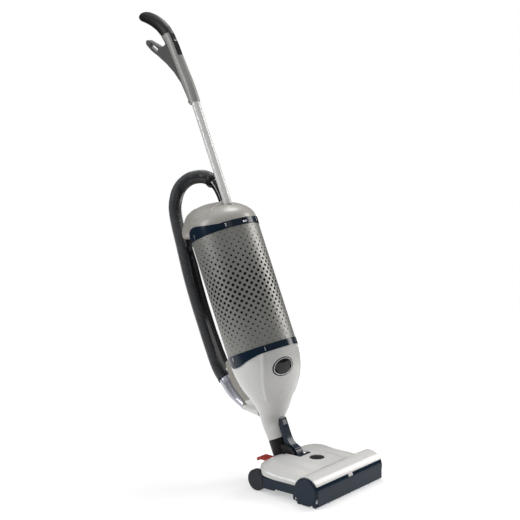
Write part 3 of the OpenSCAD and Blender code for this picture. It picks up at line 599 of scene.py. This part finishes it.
# longest edge in mm and rounds of smoothing for the lofts, and the rounded edges' width in mm for the rest
LOFTS = {"handle_rear": (4, 4), "handle_front": (4, 4), "handle_grip": (4, 5), "switch_panel": (4, 2),
         "hose_socket": (4, 4)}
EDGED = {"front_hood": 0.8, "front_shield": 0.8, "end_caps": 1.0, "neck_bezel": 0.5, "height_dial": 0.5,
         "foot_pedal": 0.8, "neck_drum": 0.7, "neck_strut": 0.9, "release_button": 0.35, "lower_band": 0.5,
         "upper_band": 0.5, "band_clips": 0.3, "carrying_bar": 1.6, "hose_clips": 0.6, "hose_cuffs": 0.5,
         "tube_collar": 0.6, "handle_tube": 0.3, "power_switch": 0.4, "cable_gland": 0.4,
         "handle_screws": 0.4, "rear_wheel_left": 1.0, "rear_wheel_right": 1.0, "front_wheel_left": 0.5,
         "front_wheel_right": 0.5, "head_base": 0.5, "sole_plate": 0.4, "cover_latch": 0.3,
         "brush_roller": 0.5, "motor_pulley": 0.3}
for node, (longest, rounds) in LOFTS.items():
    refined(node, width=0, longest=longest, rounds=rounds)
for node, width in EDGED.items():
    refined(node, width=width)

# ------------------------------------------------------------------ elbow at the foot of the hose
ELBOW_LINE = [(0, 0.1764, 0.271), (0, 0.171, 0.260), (0, 0.166, 0.243), (0, 0.156, 0.221), (0, 0.143, 0.202),
              (0, 0.131, 0.188), (0, 0.1226, 0.1783)]
ELBOW_R = [0.020, 0.0198, 0.019, 0.017, 0.0145, 0.013, 0.0126]
ELBOW_STEP = 0.0022
ELBOW_SIDES = 40
elbow_path, _ = spline(ELBOW_LINE, ELBOW_STEP)
knots = [0.0]
for a, b in zip(ELBOW_LINE, ELBOW_LINE[1:]):
    knots.append(knots[-1] + (Vector(b) - Vector(a)).length)
elbow_radii = [float(np.interp(i / (len(elbow_path) - 1) * knots[-1], knots, ELBOW_R))
               for i in range(len(elbow_path))]
elbow_rings = placed(tube_rings(elbow_path, elbow_radii, ELBOW_SIDES), BODY)
elbow = link("elbow", grid_mesh("elbow", elbow_rings), "body", [ELBOW])
smooth_by_angle(elbow.data, 60)
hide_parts("hose_elbow")

# ------------------------------------------------------------------ blank badge on the lower shell
BADGE_X, BADGE_Z = -0.010, 0.2487
BADGE_W, BADGE_H = 0.0352, 0.0243       # half its width and height
RIM_FROM, RIM_TO = 0.835, 0.895         # where its light rim is, as a share of those
# rings of the badge: share of its half sizes, and height above the shell in mm
BADGE_RINGS = ((1.0, -0.3), (1.0, 0.5), (0.97, 0.8), (0.9, 0.8), (0.89, 1.0), (0.84, 1.0), (0.83, 0.7),
               (0.6, 0.7), (0.35, 0.7), (0.02, 0.7))
shell_tree = BVHTree.FromObject(bpy.data.objects["lower_shell_skin"],
                                bpy.context.evaluated_depsgraph_get())
TO_BODY = BODY.inverted()
INWARD = (BODY.to_3x3() @ Vector((0, 1, 0))).normalized()
badge_rings = []
for f, lift in BADGE_RINGS:
    ring = []
    for k in range(64):
        t = 2 * math.pi * k / 64
        start = Vector((BADGE_X + BADGE_W * f * math.cos(t), -0.30, BADGE_Z + BADGE_H * f * math.sin(t)))
        hit, normal, _, _ = shell_tree.ray_cast(BODY @ start, INWARD)
        ring.append(hit + normal * (lift * MM))
    badge_rings.append(ring)
badge = link("badge", grid_mesh("badge", badge_rings), "body", [BLACK_GLOSS, LIGHT_RIM])
for face in badge.data.polygons:
    p = TO_BODY @ face.center
    f = math.hypot((p.x - BADGE_X) / BADGE_W, (p.z - BADGE_Z) / BADGE_H)
    face.material_index = 1 if RIM_FROM < f < RIM_TO else 0
smooth_by_angle(badge.data, 40)

# ------------------------------------------------------------------ paper bag and filter inside the housing
BAG_LOW, BAG_TALL = 0.022, 0.304        # its foot above the sleeve's, and its height
BAG_R, BAG_SWELL = 0.048, 0.029         # radius of its gathered ends, and what its full middle adds
CREASE, PUCKER = 0.0035, 0.0012         # depth of the long creases and of the small folds
BAG_ROWS, BAG_SIDES = 60, 120
bag_rings = []
for i in range(BAG_ROWS + 1):
    t = i / BAG_ROWS
    z = Z0 + BAG_LOW + BAG_TALL * t
    full = math.sin(math.pi * min(1, (t + 0.10) / 0.5) / 2) if t < 0.4 else math.cos(max(0, t - 0.78) * 3.9)
    r = BAG_R + BAG_SWELL * max(0, full) - PUCKER * (1 + math.sin(i * 1.7))
    bag_rings.append([])
    for k in range(BAG_SIDES):
        a = 2 * math.pi * k / BAG_SIDES
        crease = CREASE * abs(math.sin(4 * a + 2.2 * math.sin(5 * t)))
        reach = r - crease - PUCKER * math.sin(9 * a + 14 * t)
        bag_rings[-1].append(BODY @ Vector((0.001 * math.sin(3 * t * math.pi), BODY_Y, z))
                             + BODY.to_3x3() @ (Vector((math.cos(a), math.sin(a), 0)) * reach))
bag = link("paper_bag", grid_mesh("paper_bag", bag_rings), "body", [PAPER])
smooth_by_angle(bag.data, 50)
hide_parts("dust_bag")

PLEATS = 60
PLEAT_IN, PLEAT_OUT = 0.0895, 0.0968    # radii of the folds
FILTER_FOOT, FILTER_TOP = 0.0062, 0.0082  # gaps to the sleeve's ends, 0.0144 together
profile = []
for k in range(PLEATS * 2 + 1):
    a = -math.pi / 2 + math.pi * (k + 0.5) / (PLEATS * 2 + 1) * 0.985 + 0.02
    r = PLEAT_OUT if k % 2 else PLEAT_IN
    profile.append(Vector((r * math.sin(a), -r * math.cos(a), 0)))
filter_rows = [[BODY @ Vector((p.x, p.y + BODY_Y, z)) for p in profile]
               for z in np.linspace(Z0 + FILTER_FOOT, Z1 - FILTER_TOP, 25)]
pleats = link("pleated_filter", grid_mesh("pleated_filter", filter_rows, closed=False, caps=False), "body",
              [FLEECE])
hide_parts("exhaust_filter")

# ------------------------------------------------------------------ floor and light
bpy.context.scene.view_settings.view_transform = "Standard"
FLOOR_Y, FLOOR_Z = 0.2, -0.0005
FLOOR_RADII = (1.7, 1.0, 0.4, 0.05)
floor_rings = [[Vector((r * math.cos(k * math.pi / 32), FLOOR_Y + r * math.sin(k * math.pi / 32), FLOOR_Z))
                for k in range(64)] for r in FLOOR_RADII]
floor = bpy.data.objects.new("floor", grid_mesh("floor", floor_rings, caps=False))
bpy.context.scene.collection.objects.link(floor)
floor_look = bpy.data.materials.new("studio floor")
floor_look.use_nodes = True
paint = floor_look.node_tree.nodes["Principled BSDF"]
paint.inputs["Base Color"].default_value = (0.62, 0.62, 0.62, 1)
paint.inputs["Roughness"].default_value = 1.0
paint.inputs["Specular IOR Level"].default_value = 0.0
paint.inputs["Emission Color"].default_value = (1, 1, 1, 1)
paint.inputs["Emission Strength"].default_value = 0.42
floor.data.materials.append(floor_look)

# the camera sees plain white, and everything else a dim sky that brightens upwards:
# how far up a direction points, from 0 at the horizon to 1 overhead, and its brightness
SKY = ((0.0, 0.03), (0.3, 0.07), (0.55, 0.34), (1.0, 1.2))
world = bpy.data.worlds.new("studio")
bpy.context.scene.world = world
world.use_nodes = True
sky = world.node_tree
back = sky.nodes["Background"]
where = sky.nodes.new("ShaderNodeTexCoord")
parts = sky.nodes.new("ShaderNodeSeparateXYZ")
ramp = sky.nodes.new("ShaderNodeValToRGB")
while len(ramp.color_ramp.elements) < len(SKY):
    ramp.color_ramp.elements.new(0.5)
for element, (position, level) in zip(ramp.color_ramp.elements, SKY):
    element.position = position
    element.color = (level, level, level * 1.01, 1)
seen = sky.nodes.new("ShaderNodeLightPath")
mix = sky.nodes.new("ShaderNodeMix")
mix.data_type = "RGBA"
mix.inputs["B"].default_value = (1, 1, 1, 1)
sky.links.new(where.outputs["Generated"], parts.inputs["Vector"])
sky.links.new(parts.outputs["Z"], ramp.inputs["Fac"])
sky.links.new(ramp.outputs["Color"], mix.inputs["A"])
sky.links.new(seen.outputs["Is Camera Ray"], mix.inputs["Factor"])
sky.links.new(mix.outputs["Result"], back.inputs["Color"])
back.inputs["Strength"].default_value = 1.0


def softbox(name, place, target, size, power, color=(1, 1, 1)):
    """A rectangular area light of the given size in metres and power in watts, turned to its target."""
    data = bpy.data.lights.new(name, "AREA")
    data.shape = "RECTANGLE"
    data.size, data.size_y = size
    data.energy = power
    data.color = color
    o = bpy.data.objects.new(name, data)
    o.location = place
    o.rotation_euler = (Vector(target) - Vector(place)).to_track_quat("-Z", "Y").to_euler()
    bpy.context.scene.collection.objects.link(o)


softbox("key", (2.8, -1.2, 1.9), (0, 0.3, 0.6), (1.2, 2.2), 62, (1.0, 0.985, 0.96))
softbox("left", (-2.1, 1.6, 1.5), (0, 0.3, 0.3), (0.7, 1.6), 30, (0.98, 0.99, 1.0))
softbox("top", (0.8, 0.7, 2.6), (0, 0.1, 0), (0.8, 0.8), 16)
softbox("front", (-1.8, -2.4, 2.8), (0, 0.1, 0.3), (1.2, 0.8), 4)
